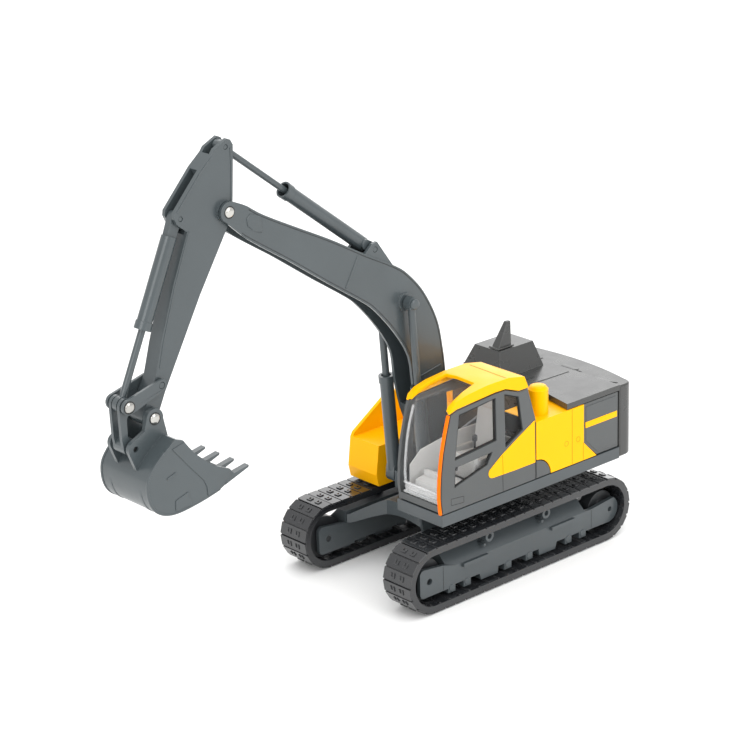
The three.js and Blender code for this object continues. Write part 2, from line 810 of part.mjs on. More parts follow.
// A rod with an eye round its pin, and a tail that stays inside the barrel.
function rod({ foot, head, tail, radius, eye, eyeHalf, pin, y = 0 }) {
  const start = between(head, foot, tail / distance(foot, head));
  const stem = strut(start, between(head, foot, (eye * 0.7) / distance(foot, head)), radius, y, 14);
  const ring = bar(head, eye, y - eyeHalf, y + eyeHalf, 20);
  return cut(join(stem, ring), bar(head, pin + RUN, y - 6, y + 6, 16));
}

const BOOM_CYLINDER = {
  foot: BOOM_CYL_FOOT,
  head: BOOM_CYL_HEAD,
  shoulder: 1.8,
  length: 31,
  radius: 2,
  bore: 1.45,
  eye: 2,
  eyeHalf: 1.7,
  pin: 0.95,
  tail: 45,
};
const ARM_CYLINDER = {
  foot: ARM_CYL_FOOT,
  head: ARM_CYL_HEAD,
  shoulder: 1.8,
  length: 35.8,
  radius: 2.1,
  bore: 1.85,
  eye: 1.8,
  eyeHalf: 2.4,
  pin: 0.75,
  tail: 42,
};
const BUCKET_CYLINDER = {
  foot: BUCKET_CYL_FOOT,
  head: LINK_PIN,
  shoulder: 5,
  length: 29.6,
  radius: 2.05,
  bore: 1.6,
  eye: 1.7,
  eyeHalf: 1.1,
  pin: 0.65,
  tail: 34,
};

function addBoomCylinder(side) {
  const y = side === "left" ? BOOM_CYL_Y : -BOOM_CYL_Y;
  add("boom_cylinder_barrel_" + side, barrel({ ...BOOM_CYLINDER, y }), GREY);
  const stem = rod({ ...BOOM_CYLINDER, radius: 1.05, eye: 1.9, eyeHalf: 1.2, pin: 0.95, y });
  add("boom_cylinder_rod_" + side, stem, GREY);
}

add("boom", boom(), GREY);
add("boom_foot_pin", bar(BOOM_FOOT, 1, -5.9, 5.9, 16), STEEL);
add("boom_cylinder_foot_pin", bar(BOOM_CYL_FOOT, 0.95, -8.5, 8.5, 16), GREY);
add("boom_cylinder_head_pin", bar(BOOM_CYL_HEAD, 0.95, -8.5, 8.5, 16), GREY);
addBoomCylinder("left");
addBoomCylinder("right");
add("arm", arm(), GREY);
add("arm_pivot_rivet", bar(ARM_PIVOT, 1.5, -4.1, 4.1, 20), STEEL);
add("arm_cylinder_foot_pin", bar(ARM_CYL_FOOT, 0.75, -3.8, 3.8, 14), GREY);
add("arm_cylinder_head_pin", bar(ARM_CYL_HEAD, 0.65, -2.4, 2.4, 14), GREY);
add("arm_cylinder_barrel", barrel(ARM_CYLINDER), GREY);
add("arm_cylinder_rod", rod({ ...ARM_CYLINDER, radius: 0.9, eye: 1.5, eyeHalf: 1.1, pin: 0.65 }), GREY);
add("bucket_cylinder_foot_pin", bar(BUCKET_CYL_FOOT, 0.65, -2.4, 2.4, 14), GREY);
add("bucket_cylinder_barrel", barrel(BUCKET_CYLINDER), GREY);
const bucketRod = rod({ ...BUCKET_CYLINDER, radius: 0.95, eye: 2.1, eyeHalf: 0.9, pin: 1.15 });
add("bucket_cylinder_rod", bucketRod, GREY);

// ---------- bucket linkage ----------
function rocker() {
  const plate = strap(LINK_PIN, ROCKER_PIVOT, 2.1, 1.65, 2.85, 3.8);
  return cut(plate, bar(LINK_PIN, 1.15 + RUN, 0, 6, 20), bar(ROCKER_PIVOT, 0.85 + RUN, 0, 6, 14));
}

function bucketLink() {
  const parts = [bar(BUCKET_EAR_PIN, 2.2, -2.3, 2.3, 24)];
  const leg = [
    ...arc(BUCKET_EAR_PIN, 2.1, 190, 360, 9),
    [118.7, 68.6],
    [118.9, 75.4],
    ...arc(LINK_PIN, 2.1, 0, 240, 12),
    [116.8, 73.8],
    [116.8, 69],
  ];
  for (const y of [[1.25, 2.3], [-2.3, -1.25]]) parts.push(sidePlate(leg, ...y));
  return cut(join(...parts), bar(LINK_PIN, 1.15 + RUN, -6, 6, 20), bar(BUCKET_EAR_PIN, 1.45, -6, 6, 20));
}

addPair("rocker", rocker(), GREY);
add("rocker_pin", bar(ROCKER_PIVOT, 0.85, -3.7, 3.7, 14), STEEL);
add("link_rivet", bar(LINK_PIN, 1.15, -3.9, 3.9, 20), STEEL);
add("bucket_link", bucketLink(), GREY);

// ---------- bucket ----------
const BUCKET_BACK = [
  [107.6, 67.9], [111.2, 65.4], [115, 62], [117.1, 58.6], [117.1, 54], [115.4, 50.4],
  [112.2, 48.3], [107.5, 47.7], [100, 48.7], [94, 50.1], [89.3, 53.2],
];

function bucket() {
  const back = smooth(BUCKET_BACK, 26);
  const cheekEdge = smooth([[90.6, 54.9], [96.2, 57.7], [101.7, 62.5], [105.2, 67]], 8);
  const hull = sidePlate([...back, ...cheekEdge], -BUCKET_HALF, BUCKET_HALF);
  const hollow = sidePlate(
    [...shifted(back, BUCKET_WALL), [84, 53], [88, 66], [100, 72]],
    BUCKET_WALL - BUCKET_HALF,
    BUCKET_HALF - BUCKET_WALL,
  );
  const parts = [cut(hull, hollow)];
  for (let i = 0; i < TEETH; i++) {
    const y = (i - (TEETH - 1) / 2) * TOOTH_PITCH;
    const tooth = sidePlate([[92.4, 50.9], [84.5, 53.6], [84.3, 54.2], [91.4, 52.9]], y - 0.95, y + 0.95);
    parts.push(tooth);
  }
  const ear = [
    ...arc(BUCKET_PIVOT, 2.7, 10, 190, 10),
    [105.9, 66.9],
    [108.6, 66.5],
    [111.6, 63.6],
    [116.2, 59.8],
    ...arc(BUCKET_EAR_PIN, 2.3, -30, 60, 6),
    [113.2, 70],
  ];
  const earPlate = sidePlate(ear, 3.35, 4.6);
  parts.push(earPlate, earPlate.mirror([0, 1, 0]));
  return cut(
    join(...parts),
    bar(BUCKET_PIVOT, 1.25 + RUN, -8, 8, 20),
    bar(BUCKET_EAR_PIN, 0.75 + RUN, -8, 8, 14),
  );
}

add("bucket", bucket(), GREY);
add("bucket_rivet", bar(BUCKET_PIVOT, 1.25, -4.7, 4.7, 20), STEEL);
add("bucket_link_pin", bar(BUCKET_EAR_PIN, 0.75, -3.7, 3.7, 14), STEEL);

export default machine;
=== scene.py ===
import math
import bmesh
import bpy
from mathutils import Matrix, Vector


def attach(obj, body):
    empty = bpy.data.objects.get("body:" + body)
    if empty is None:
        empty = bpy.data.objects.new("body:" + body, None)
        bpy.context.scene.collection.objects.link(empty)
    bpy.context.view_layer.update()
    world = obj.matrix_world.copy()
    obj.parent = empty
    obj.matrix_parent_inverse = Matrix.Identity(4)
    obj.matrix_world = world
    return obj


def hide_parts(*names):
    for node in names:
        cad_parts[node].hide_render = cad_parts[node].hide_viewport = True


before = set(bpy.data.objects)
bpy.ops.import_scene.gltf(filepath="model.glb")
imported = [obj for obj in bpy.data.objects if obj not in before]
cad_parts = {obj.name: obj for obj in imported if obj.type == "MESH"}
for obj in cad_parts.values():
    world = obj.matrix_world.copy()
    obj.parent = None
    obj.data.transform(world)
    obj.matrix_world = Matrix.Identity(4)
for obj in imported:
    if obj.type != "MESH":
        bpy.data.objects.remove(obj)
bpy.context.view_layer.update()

# Lengths below are in millimetres from the slew axis; at() turns them into the row frame.
MM = 0.001
SLEW_X = 34.65  # how far the row's origin lies ahead of the slew axis

ARM_PIVOT = (82, 121.3)
BUCKET_PIVOT = (109.7, 72.7)
BOOM_CYL_HEAD = (22.2, 82.8)
LINK_PIN = (116.8, 77.4)

TRACK_SPAN = 69
TRACK_HEIGHT = 10
TRACK_MIDDLE = 22
BELT_RADIUS = 9.4
BELT_INNER = 7.52
BELT_OUTER = 9.35
BELT_HALF = 5.47
SHOES = 52
SHOE_GAP = 0.3
SHOE_HALF = 5.5
SHOE_CORNER = 0.2

HOUSE_SIDE = 26.8
SEAM_HEIGHT = 0.13
CAB_PANE = 25.9
TAIL_CENTRE = (44.9, 0)
TAIL_RADIUS = 94.55


def at(x, y, z):
    return Vector(((x - SLEW_X) * MM, y * MM, z * MM))


# ---------- materials ----------
def node(tree, kind, **values):
    made = tree.nodes.new(kind)
    for name, value in values.items():
        if name in made.inputs:
            made.inputs[name].default_value = value
        else:
            setattr(made, name, value)
    return made


def noise(tree, scale, detail=3.0, roughness=0.5):
    place = node(tree, "ShaderNodeTexCoord")
    made = node(tree, "ShaderNodeTexNoise", Scale=scale, Detail=detail, Roughness=roughness)
    tree.links.new(place.outputs["Object"], made.inputs["Vector"])
    return made.outputs["Fac"]


def ramp(tree, value, low, high, at_low=0.35, at_high=0.65):
    made = node(tree, "ShaderNodeMapRange")
    made.inputs["From Min"].default_value = at_low
    made.inputs["From Max"].default_value = at_high
    made.inputs["To Min"].default_value = low
    made.inputs["To Max"].default_value = high
    tree.links.new(value, made.inputs["Value"])
    return made.outputs["Result"]


def mix_colour(tree, factor, first, second):
    made = node(tree, "ShaderNodeMix", data_type="RGBA")
    sockets = [s for s in made.inputs if s.type == "RGBA"]
    for socket, value in zip(sockets, (first, second)):
        if isinstance(value, tuple):
            socket.default_value = (*value, 1)
        else:
            tree.links.new(value, socket)
    tree.links.new(factor, made.inputs["Factor"])
    return next(s for s in made.outputs if s.type == "RGBA")


def edges(tree, radius, low=0.02, high=0.3):
    """1 along convex and concave edges, 0 on the flats."""
    soft = node(tree, "ShaderNodeBevel", samples=4, Radius=radius * MM)
    plain = node(tree, "ShaderNodeNewGeometry")
    dot = node(tree, "ShaderNodeVectorMath", operation="DOT_PRODUCT")
    tree.links.new(soft.outputs["Normal"], dot.inputs[0])
    tree.links.new(plain.outputs["Normal"], dot.inputs[1])
    return ramp(tree, dot.outputs["Value"], 1, 0, 1 - high, 1 - low)


def shade(colour, factor):
    return tuple(min(1.0, c * factor) for c in colour)


def material(name, colour, roughness, spread=0.05, mottle=0.06, peel=0.12, grain=900, edge_sheen=0.0, sheen_colour=None,
             metallic=0.0, coat=0.0, specular=0.5, tint=(1, 1, 1)):
    """A painted, moulded or metal finish: colour drift, uneven gloss, fine texture, a painted highlight
    along the edges.
    """
    made = bpy.data.materials.new(name)
    made.use_nodes = True
    tree = made.node_tree
    shader = tree.nodes["Principled BSDF"]
    shader.inputs["Metallic"].default_value = metallic
    shader.inputs["Coat Weight"].default_value = coat
    shader.inputs["Coat Roughness"].default_value = 0.12
    shader.inputs["Specular IOR Level"].default_value = specular
    shader.inputs["Specular Tint"].default_value = (*tint, 1)
    drift = noise(tree, 55, 4)
    base = mix_colour(tree, ramp(tree, drift, 0, 1), shade(colour, 1 - mottle), shade(colour, 1 + mottle))
    # Painted highlight: convex and concave edges lightened towards a paler copy of the colour, broken up by
    # noise, standing in for gloss catching them.
    if edge_sheen:
        sheen_mask = node(tree, "ShaderNodeMath", operation="MULTIPLY")
        tree.links.new(edges(tree, 0.28), sheen_mask.inputs[0])
        tree.links.new(ramp(tree, noise(tree, 700, 3), 0, edge_sheen, 0.3, 0.6), sheen_mask.inputs[1])
        base = mix_colour(tree, sheen_mask.outputs[0], base, sheen_colour or shade(colour, 2.2))
    tree.links.new(base, shader.inputs["Base Color"])
    gloss = ramp(tree, noise(tree, 140, 4, 0.6), roughness - spread, roughness + spread)
    tree.links.new(gloss, shader.inputs["Roughness"])
    bump = node(tree, "ShaderNodeBump", Strength=peel, Distance=0.00006)
    tree.links.new(noise(tree, grain, 2), bump.inputs["Height"])
    tree.links.new(bump.outputs["Normal"], shader.inputs["Normal"])
    return made


def clear_plastic(name, sheerest=0.03, densest=0.4, light=0.62):
    """Thin clear moulding: see-through face on, with a painted highlight along its edges, whiter and less
    clear there.
    """
    made = bpy.data.materials.new(name)
    made.use_nodes = True
    tree = made.node_tree
    shader = tree.nodes["Principled BSDF"]
    shader.inputs["IOR"].default_value = 1.49
    shader.inputs["Specular IOR Level"].default_value = 0.6
    haze = ramp(tree, noise(tree, 260, 4, 0.65), 0.0, 1.0)
    tint = mix_colour(tree, haze, (light * 0.8, light * 0.82, light * 0.83), (light, light, light))
    # Painted highlight: the edges turn near white and more opaque, standing in for light caught along the
    # moulding's rim.
    rim_highlight = edges(tree, 0.5, 0.05, 0.5)
    tree.links.new(mix_colour(tree, rim_highlight, tint, (0.85, 0.87, 0.88)), shader.inputs["Base Color"])
    tree.links.new(ramp(tree, noise(tree, 120, 3), 0.05, 0.14), shader.inputs["Roughness"])
    facing = node(tree, "ShaderNodeLayerWeight", Blend=0.2)
    sheer = ramp(tree, facing.outputs["Facing"], sheerest, densest, 0.3, 0.98)
    solid = node(tree, "ShaderNodeMath", operation="MAXIMUM")
    tree.links.new(sheer, solid.inputs[0])
    tree.links.new(ramp(tree, rim_highlight, 0, 0.6, 0.1, 0.9), solid.inputs[1])
    tree.links.new(solid.outputs[0], shader.inputs["Alpha"])
    bump = node(tree, "ShaderNodeBump", Strength=0.08, Distance=0.0001)
    tree.links.new(noise(tree, 90, 2), bump.inputs["Height"])
    tree.links.new(bump.outputs["Normal"], shader.inputs["Normal"])
    return made


# The edge values below set how strongly each finish gets its painted edge highlight, and the paler colour
# it turns to.
PAINT = material("dark_grey_paint", (0.05, 0.062, 0.067), 0.34, edge_sheen=0.25, coat=0.25)
FRAME_PAINT = material("grey_frame_paint", (0.05, 0.06, 0.065), 0.36, edge_sheen=0.25, coat=0.15)
GREY = material("grey_plastic", (0.062, 0.067, 0.068), 0.36, edge_sheen=0.15, peel=0.2, grain=1400, coat=0.1)
HOOD = material("hood_grey", (0.036, 0.037, 0.036), 0.3, edge_sheen=0.35, peel=0.2, grain=1400,
                sheen_colour=(0.3, 0.3, 0.3), coat=0.2)
YELLOW = material("yellow_plastic", (0.97, 0.45, 0.0008), 0.34, mottle=0.02, edge_sheen=0.2,
                  sheen_colour=(1.0, 0.62, 0.05), specular=0.4, tint=(1.0, 0.72, 0.02))
# Painted shade: the yellow darkened and turned orange as it looks in shade, used for the seam lines, the
# mould-mark rings and the roof crease.
YELLOW_SHADE = material("yellow_seam_shade", (0.4, 0.12, 0.001), 0.5, specular=0.1)
ORANGE = material("orange_trim", (0.85, 0.16, 0.002), 0.4, mottle=0.04, specular=0.3, tint=(1.0, 0.4, 0.05))
INSIDE = material("interior_plastic", (0.55, 0.55, 0.54), 0.45, mottle=0.1, peel=0.3, grain=1800)
TRACK = material("black_track", (0.014, 0.015, 0.017), 0.2, spread=0.07, mottle=0.12, peel=0.25, grain=1500,
                 edge_sheen=0.45, sheen_colour=(0.1, 0.1, 0.1), coat=0.35)
WHEEL = material("black_plastic", (0.02, 0.022, 0.024), 0.4, mottle=0.1, peel=0.25, grain=1300, edge_sheen=0.2)
STEEL = material("rivet_steel", (0.56, 0.55, 0.52), 0.16, spread=0.1, mottle=0.35, peel=0.5, grain=1300,
                 metallic=1.0)
GAP = material("panel_gap", (0.004, 0.004, 0.0045), 0.6, mottle=0.2)
GLAZING = clear_plastic("clear_plastic")
# Painted highlight: a whiter, denser clear finish for the windscreen's bead, standing in for the highlights
# along it.
CLEAR_HIGHLIGHT = clear_plastic("clear_highlight", 0.3, 0.9, 0.85)


# ---------- carried-over CAD nodes ----------
def smoothing():
    """Faces smooth, edges over 50 degrees kept sharp."""
    tree = bpy.data.node_groups.new("smoothing", "GeometryNodeTree")
    tree.interface.new_socket("Geometry", in_out="INPUT", socket_type="NodeSocketGeometry")
    tree.interface.new_socket("Geometry", in_out="OUTPUT", socket_type="NodeSocketGeometry")
    source = tree.nodes.new("NodeGroupInput")
    result = tree.nodes.new("NodeGroupOutput")
    faces = tree.nodes.new("GeometryNodeSetShadeSmooth")
    faces.domain = "FACE"
    sharp = tree.nodes.new("GeometryNodeSetShadeSmooth")
    sharp.domain = "EDGE"
    sharp.inputs["Shade Smooth"].default_value = False
    angle = tree.nodes.new("GeometryNodeInputMeshEdgeAngle")
    steep = tree.nodes.new("ShaderNodeMath")
    steep.operation = "GREATER_THAN"
    steep.inputs[1].default_value = math.radians(50)
    tree.links.new(source.outputs[0], faces.inputs["Geometry"])
    tree.links.new(faces.outputs[0], sharp.inputs["Geometry"])
    tree.links.new(angle.outputs["Unsigned Angle"], steep.inputs[0])
    tree.links.new(steep.outputs[0], sharp.inputs["Selection"])
    tree.links.new(sharp.outputs[0], result.inputs[0])
    return tree


SMOOTHING = smoothing()


def soften(piece, width, angle=28, segments=2):
    if width:
        bevel = piece.modifiers.new("edge_radius", "BEVEL")
        bevel.width = width * MM
        bevel.segments = segments
        bevel.limit_method = "ANGLE"
        bevel.angle_limit = math.radians(angle)
        bevel.use_clamp_overlap = True
        bevel.miter_outer = "MITER_ARC"
    piece.modifiers.new("shading", "NODES").node_group = SMOOTHING
    normals = piece.modifiers.new("normals", "WEIGHTED_NORMAL")
    normals.keep_sharp = True


def dress(names, finish, width=0.15, angle=28, segments=2, merge=True):
    """CAD nodes with their material and rounded edges. Merging makes single faces of the flats, for cleaner
    bevels. It would close the window holes in the cab shell's inner wall, so the shell goes without."""
    for name in names.split():
        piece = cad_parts[name]
        piece.material_slots[0].material = finish
        weld = piece.modifiers.new("weld", "WELD")
        weld.merge_threshold = 2e-6
        if merge:
            flat = piece.modifiers.new("flats", "DECIMATE")
            flat.decimate_type = "DISSOLVE"
            flat.angle_limit = math.radians(0.6)
        soften(piece, width, angle, segments)


dress("boom arm", PAINT, 0.22)
dress("bucket", PAINT, 0.16)
dress("rocker_left rocker_right bucket_link", PAINT, 0.14)
dress("boom_cylinder_barrel_left boom_cylinder_barrel_right", PAINT, 0.12)
dress("arm_cylinder_barrel bucket_cylinder_barrel", PAINT, 0.12)
dress("boom_cylinder_rod_left boom_cylinder_rod_right arm_cylinder_rod bucket_cylinder_rod", PAINT, 0.1)
dress("boom_cylinder_foot_pin boom_cylinder_head_pin", PAINT, 0.12)
dress("arm_cylinder_foot_pin arm_cylinder_head_pin bucket_cylinder_foot_pin", PAINT, 0.12)
dress("track_frame_left track_frame_right centre_frame upper_base", FRAME_PAINT, 0.16)
dress("counterweight", HOOD, 0.6, segments=4)
dress("engine_hood", HOOD, 0.35, segments=3)
dress("exhaust_fin", HOOD, 0.3, segments=3)
dress("side_door_left side_door_right housing_corner", GREY, 0.12)
dress("cab_shell", GREY, 0.14, merge=False)
dress("left_housing right_housing", YELLOW, 0.25, angle=15, segments=3)
dress("cab_roof", YELLOW, 0.35, segments=3)
dress("cab_trim", ORANGE, 0.1)
dress("cab_glazing", GLAZING, 0.08)
dress("cab_seat cab_console", INSIDE, 0.3, segments=3)
dress("idler_wheel_left idler_wheel_right drive_wheel_left drive_wheel_right", WHEEL, 0.25)
# The axle ends are near black as painted shade, so the holes in the wheels read dark.
dress("idler_axle_left idler_axle_right drive_axle_left drive_axle_right", WHEEL, 0.15)
dress("slew_rivet", STEEL, 0.15)
dress("boom_foot_pin arm_pivot_rivet bucket_rivet link_rivet", STEEL, 0.12)
dress("rocker_pin", PAINT, 0.12)
dress("bucket_link_pin", GAP, 0.12)


# ---------- detail pieces ----------
def piece(name, bm, finish, body, width=0.0, segments=2):
    bmesh.ops.recalc_face_normals(bm, faces=bm.faces)
    data = bpy.data.meshes.new(name)
    bm.to_mesh(data)
    bm.free()
    made = bpy.data.objects.new(name, data)
    bpy.context.scene.collection.objects.link(made)
    data.materials.append(finish)
    soften(made, width, 30, segments)
    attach(made, body)
    return made


def prism(bm, low, high):
    """A closed prism between two matching rings of points."""
    below = [bm.verts.new(p) for p in low]
    above = [bm.verts.new(p) for p in high]
    bm.faces.new(below)
    bm.faces.new(above[::-1])
    count = len(below)
    for i in range(count):
        j = (i + 1) % count
        bm.faces.new((below[i], above[i], above[j], below[j]))


def side_plate(bm, points, y0, y1):
    prism(bm, [at(x, y0, z) for x, z in points], [at(x, y1, z) for x, z in points])


def floor_plate(bm, points, z0, z1):
    prism(bm, [at(x, y, z0) for x, y in points], [at(x, y, z1) for x, y in points])


def block(bm, x0, x1, y0, y1, z0, z1):
    floor_plate(bm, [(x0, y0), (x1, y0), (x1, y1), (x0, y1)], z0, z1)


def arc(centre, radius, start, end, steps):
    turn = (end - start) / steps
    angles = [math.radians(start + turn * i) for i in range(steps + 1)]
    return [(centre[0] + radius * math.cos(a), centre[1] + radius * math.sin(a)) for a in angles]


def spline(points, steps):
    """A Catmull-Rom line through the points."""
    line = []
    for i in range(len(points) - 1):
        p = [points[max(i - 1, 0)], points[i], points[i + 1], points[min(i + 2, len(points) - 1)]]
        for k in range(steps):
            t = k / steps
            line.append(tuple(
                0.5 * (2 * p[1][c] + (p[2][c] - p[0][c]) * t
                       + (2 * p[0][c] - 5 * p[1][c] + 4 * p[2][c] - p[3][c]) * t * t
                       + (3 * p[1][c] - p[0][c] - 3 * p[2][c] + p[3][c]) * t ** 3)
                for c in (0, 1)
            ))
    line.append(tuple(points[-1]))
    return line


def offset(points, distance):
    """The line moved to its right."""
    moved = []
    for i, point in enumerate(points):
        before = points[max(i - 1, 0)]
        after = points[min(i + 1, len(points) - 1)]
        du, dv = after[0] - before[0], after[1] - before[1]
        length = math.hypot(du, dv)
        moved.append((point[0] + dv / length * distance, point[1] - du / length * distance))
    return moved


def ribbon(bm, line, width, y0, y1):
    """A strip along a line in the XZ plane, width to its right."""
    side_plate(bm, line + offset(line, width)[::-1], y0, y1)


def circle(centre, radius, steps):
    return arc(centre, radius, 0, 360 - 360 / steps, steps - 1)


def revolve(bm, centre, profile, place, steps):
    """A closed body of revolution. profile runs axis to axis as (radius, height), and place puts the point
    (u, v) of a circle round centre at a height."""
    rings = []
    for radius, height in profile:
        points = circle(centre, radius, steps) if radius else [centre]
        rings.append([bm.verts.new(place(u, v, height)) for u, v in points])
    for a, b in zip(rings, rings[1:]):
        for i in range(steps):
            j = (i + 1) % steps
            corners = [a[i % len(a)], b[i % len(b)], b[j % len(b)], a[j % len(a)]]
            bm.faces.new(list(dict.fromkeys(corners)))


def lathe(bm, centre, profile, steps=24):
    """A body turned about the Y line through centre, with profile as (radius, y)."""
    revolve(bm, centre, profile, lambda x, z, y: at(x, y, z), steps)


def upright(bm, centre, profile, steps=32):
    """A body turned about the vertical line through centre, with profile as (radius, z)."""
    revolve(bm, centre, profile, at, steps)


def across(side, near, far):
    """Two distances from the middle plane as Y values in rising order."""
    return sorted((side * near, side * far))


def both_sides(build, name, finish, body, width=0.0):
    for side, word in ((1, "left"), (-1, "right")):
        bm = bmesh.new()
        build(bm, side)
        piece(name + "_" + word, bm, finish, body, width, 1)


def disc(bm, centre, radius, y0, y1, steps=24):
    side_plate(bm, circle(centre, radius, steps), y0, y1)


def ring(bm, centre, inner, outer, y0, y1, steps=28):
    """A flat washer about the Y line through centre."""
    loops = []
    for radius, y in ((inner, y0), (outer, y0), (outer, y1), (inner, y1)):
        loops.append([bm.verts.new(at(x, y, z)) for x, z in circle(centre, radius, steps)])
    for k in range(4):
        a, b = loops[k], loops[(k + 1) % 4]
        for i in range(steps):
            j = (i + 1) % steps
            bm.faces.new((a[i], b[i], b[j], a[j]))


# ---------- tracks ----------
def track_point(travel, radius):
    """Point, outward normal and direction of travel on the oval, in the XZ plane."""
    half = TRACK_SPAN / 2
    bend = math.pi * BELT_RADIUS
    travel %= 2 * (TRACK_SPAN + bend)
    if travel < TRACK_SPAN:
        return (travel - half, TRACK_HEIGHT + radius), (0, 1), (1, 0)
    if travel < TRACK_SPAN + bend:
        centre, angle = half, math.pi / 2 - (travel - TRACK_SPAN) / BELT_RADIUS
    elif travel < 2 * TRACK_SPAN + bend:
        return (half - (travel - TRACK_SPAN - bend), TRACK_HEIGHT - radius), (0, -1), (-1, 0)
    else:
        centre, angle = -half, -math.pi / 2 - (travel - 2 * TRACK_SPAN - bend) / BELT_RADIUS
    out = (math.cos(angle), math.sin(angle))
    return (centre + radius * out[0], TRACK_HEIGHT + radius * out[1]), out, (out[1], -out[0])


def track(side):
    lap = 2 * (TRACK_SPAN + math.pi * BELT_RADIUS)
    pitch = lap / SHOES
    middle = side * TRACK_MIDDLE
    section = [(BELT_INNER, BELT_HALF), (BELT_OUTER, BELT_HALF)]
    section += [(radius, -y) for radius, y in section[::-1]]
    bm = bmesh.new()
    steps = SHOES * 4
    hoop = []
    for i in range(steps):
        travel = lap * i / steps
        corners = []
        for radius, y in section:
            (x, z), _, _ = track_point(travel, radius)
            corners.append(bm.verts.new(at(x, middle + y, z)))
        hoop.append(corners)
    for i in range(steps):
        a, b = hoop[i], hoop[(i + 1) % steps]
        for k in range(4):
            bm.faces.new((a[k], a[(k + 1) % 4], b[(k + 1) % 4], b[k]))

    def shoe_part(travel, outline, low, high):
        (x, z), out, along = track_point(travel, 0)

        def place(u, v, w):
            return at(x + along[0] * u + out[0] * w, middle + v, z + along[1] * u + out[1] * w)

        prism(bm, [place(u, v, low) for u, v in outline], [place(u, v, high) for u, v in outline])

    half = (pitch - SHOE_GAP) / 2
    wide = SHOE_HALF
    cut = SHOE_CORNER
    pad = [(-half, cut - wide), (cut - half, -wide), (half - cut, -wide), (half, cut - wide),
           (half, wide - cut), (half - cut, wide), (cut - half, wide), (-half, wide - cut)]
    for i in range(SHOES):
        travel = (i + 0.5) * pitch
        shoe_part(travel, pad, 9.2, 9.68)
        for v in (-1.75, 1.75):
            hook = [(-0.75, v - 0.85), (0.75, v - 0.85), (0.75, v + 0.85), (-0.75, v + 0.85),
                    (-0.75, v + 0.35), (0.2, v + 0.35), (0.2, v - 0.35), (-0.75, v - 0.35)]
            shoe_part(travel, hook, 9.5, 9.98)
        shoe_part(travel, [(-0.3, -5.2), (0.3, -5.2), (0.3, 5.2), (-0.3, 5.2)], 7.3, 7.7)
    name = "left" if side > 0 else "right"
    made = piece("track_chain_" + name, bm, TRACK, "undercarriage", 0.08, 1)
    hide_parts("track_belt_" + name)


for side in (1, -1):
    track(side)


# ---------- rivet heads ----------
def dome(bm, centre, side, face, radius, height):
    profile = [(0, face - 0.3), (radius, face - 0.3), (radius, face + height * 0.15)]
    for k in range(1, 6):
        angle = math.radians(15 * k + 8)
        profile.append((radius * math.cos(angle), face + height * (0.15 + 0.85 * math.sin(angle))))
    profile.append((0, face + height))
    lathe(bm, centre, [(r, side * y) for r, y in profile])


def rivets():
    for name, body, centre, face, radius in (
        ("arm_rivet", "arm_assembly", ARM_PIVOT, 4.2, 1.45),
        ("link_rivet", "rocker", LINK_PIN, 3.86, 1.5),
        ("bucket_rivet", "bucket_assembly", BUCKET_PIVOT, 4.66, 1.5),
    ):
        for side, word in ((1, "left"), (-1, "right")):
            bm = bmesh.new()
            dome(bm, centre, side, face, radius, 0.55)
            piece(name + "_head_" + word, bm, STEEL, body)
            bm = bmesh.new()
            ring(bm, centre, radius - 0.1, radius + 0.22, *across(side, face - 0.2, face + 0.02))
            piece(name + "_gap_" + word, bm, GAP, body)


rivets()


# ---------- boom and arm ----------
BOOM_TOP = [
    (7.5, 58.9), (8.2, 65), (10.2, 74.5), (15, 83.8), (20.8, 90.4), (25.9, 94.1),
    (36, 99.5), (48.5, 106.6), (62.1, 113.6), (71.3, 118.5), (75.4, 121.2),
]
BOOM_BELLY = [
    (17.6, 48), (19.9, 57.7), (21.2, 66.3), (26.2, 74.6), (33.3, 82.8), (38.6, 87),
    (49.1, 94.1), (62.6, 103.6), (75.7, 112.3), (78.6, 114.5),
]


def boom_lips(bm, side):
    lo, hi = across(side, 4.1, 4.32)
    ribbon(bm, spline(BOOM_TOP, 6), 0.5, lo, hi)
    ribbon(bm, spline(BOOM_BELLY, 6)[::-1], 0.5, lo, hi)


# Painted shadow: thin near-black lines just inside the lips, where shade falls beside them.
def boom_lip_shadows(bm, side):
    lo, hi = across(side, 4.15, 4.24)
    ribbon(bm, offset(spline(BOOM_TOP, 6), 0.55), 0.13, lo, hi)
    ribbon(bm, offset(spline(BOOM_BELLY, 6)[::-1], 0.55), 0.13, lo, hi)


def boom_seams(bm, side):
    lo, hi = across(side, 4.1, 4.42)
    for a, b in (((39.2, 99.9), (43.8, 91.8)), ((16.8, 59.3), (9.2, 60.8))):
        ribbon(bm, [a, b], 0.55, lo, hi)


def boom_tip_pads(bm, side):
    points = [(71.9, 118.2), (75.2, 119.6), (76.6, 118.4), (76.4, 116.4), (74.2, 114.5), (71.5, 113.6)]
    side_plate(bm, points, *across(side, 4.05, 4.5))


both_sides(boom_lips, "boom_lip", PAINT, "boom_assembly", 0.1)
both_sides(boom_lip_shadows, "boom_lip_shadow", GAP, "boom_assembly")
both_sides(boom_seams, "boom_seam", PAINT, "boom_assembly", 0.12)
both_sides(boom_tip_pads, "boom_tip_pad", PAINT, "boom_assembly", 0.3)


def caps(bm, side):
    face = side * 8.45
    lathe(bm, BOOM_CYL_HEAD, [(0, face - side * 0.9), (1.5, face - side * 0.9), (1.5, face - side * 0.1),
                              (1.2, face + side * 0.15), (0, face + side * 0.15)])


both_sides(caps, "boom_pin_cap", PAINT, "boom_assembly", 0.08)

ARM_EDGE = [(79.6, 137.6), (79.6, 132.8), (80.2, 124.4), (81, 120.2)]
ARM_REAR = [(85.4, 136), (88.9, 133), (97.2, 124)]
ARM_BACK = [(93.7, 118.4), (99.4, 104.2), (103.8, 91), (105.4, 84.6)]


